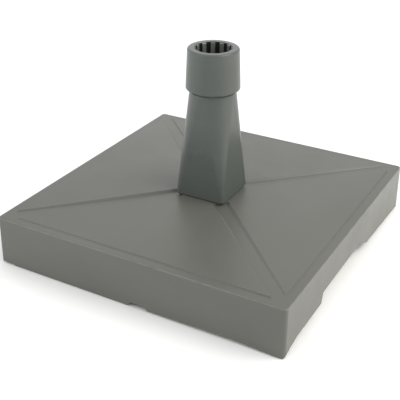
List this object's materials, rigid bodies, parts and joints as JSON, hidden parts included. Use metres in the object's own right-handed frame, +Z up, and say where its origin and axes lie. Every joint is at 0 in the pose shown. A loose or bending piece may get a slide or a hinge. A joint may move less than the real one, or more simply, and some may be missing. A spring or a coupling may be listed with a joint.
{
  "type": "parasol base",
  "caption": "Square concrete-filled parasol base with a plastic cover, tapered tower and a screw collar that clamps the pole.",
  "frame": {"origin": "on the floor, under the middle of the square base", "axes": "+Z up along the pole's axis; -Y towards the front side with the narrow notch; +X towards a side with a wide hand recess"},
  "size_m": [0.452, 0.452, 0.298],
  "materials": {
    "cover_plastic": "fine-grained moulded plastic, warm grey",
    "tower_plastic": "fine-grained moulded plastic, slightly darker green-grey",
    "tray_plastic": "dull recycled plastic",
    "collet_plastic": "satin moulded plastic",
    "concrete": "cast concrete",
    "galvanised_steel": "galvanised",
    "zinc_steel": "zinc plated",
    "pad_rubber": "dull black",
    "nylon": "natural nylon"
  },
  "bodies": {
    "base": {"cover_shell": "cover_plastic", "bottom_tray": "tray_plastic", "ballast_block": "concrete", "tray_screws": "zinc_steel", "foot_pad_front_left": "pad_rubber", "foot_pad_front_right": "pad_rubber", "foot_pad_back_left": "pad_rubber", "foot_pad_back_right": "pad_rubber", "tower_sleeve": "tower_plastic", "tower_gasket": "pad_rubber", "tower_screws": "zinc_steel", "tower_washers": "zinc_steel", "stem_tube": "galvanised_steel", "stem_flange": "galvanised_steel", "anchor_bolts": "zinc_steel", "anchor_washers": "zinc_steel", "anchor_nuts": "zinc_steel", "pole_stop": "tray_plastic", "tube_spacer": "nylon"},
    "collet": {"clamp_collet": "collet_plastic", "slip_washer": "nylon"},
    "collar": {"clamp_ring": "tower_plastic"}
  },
  "joints": [
    {"name": "collet_rise", "type": "slide", "parent": "base", "child": "collet", "axis": [0, 0, 1], "range_m": [0, 0.0151]},
    {"name": "collar_turn", "type": "hinge", "parent": "collet", "child": "collar", "pos_m": [0, 0, 0.2695], "axis": [0, 0, 1], "range_deg": [0, 900]}
  ],
  "couplings": [
    {"joint": "collet_rise", "follows": "collar_turn", "m_per_rad": 0.00095493}
  ]
}
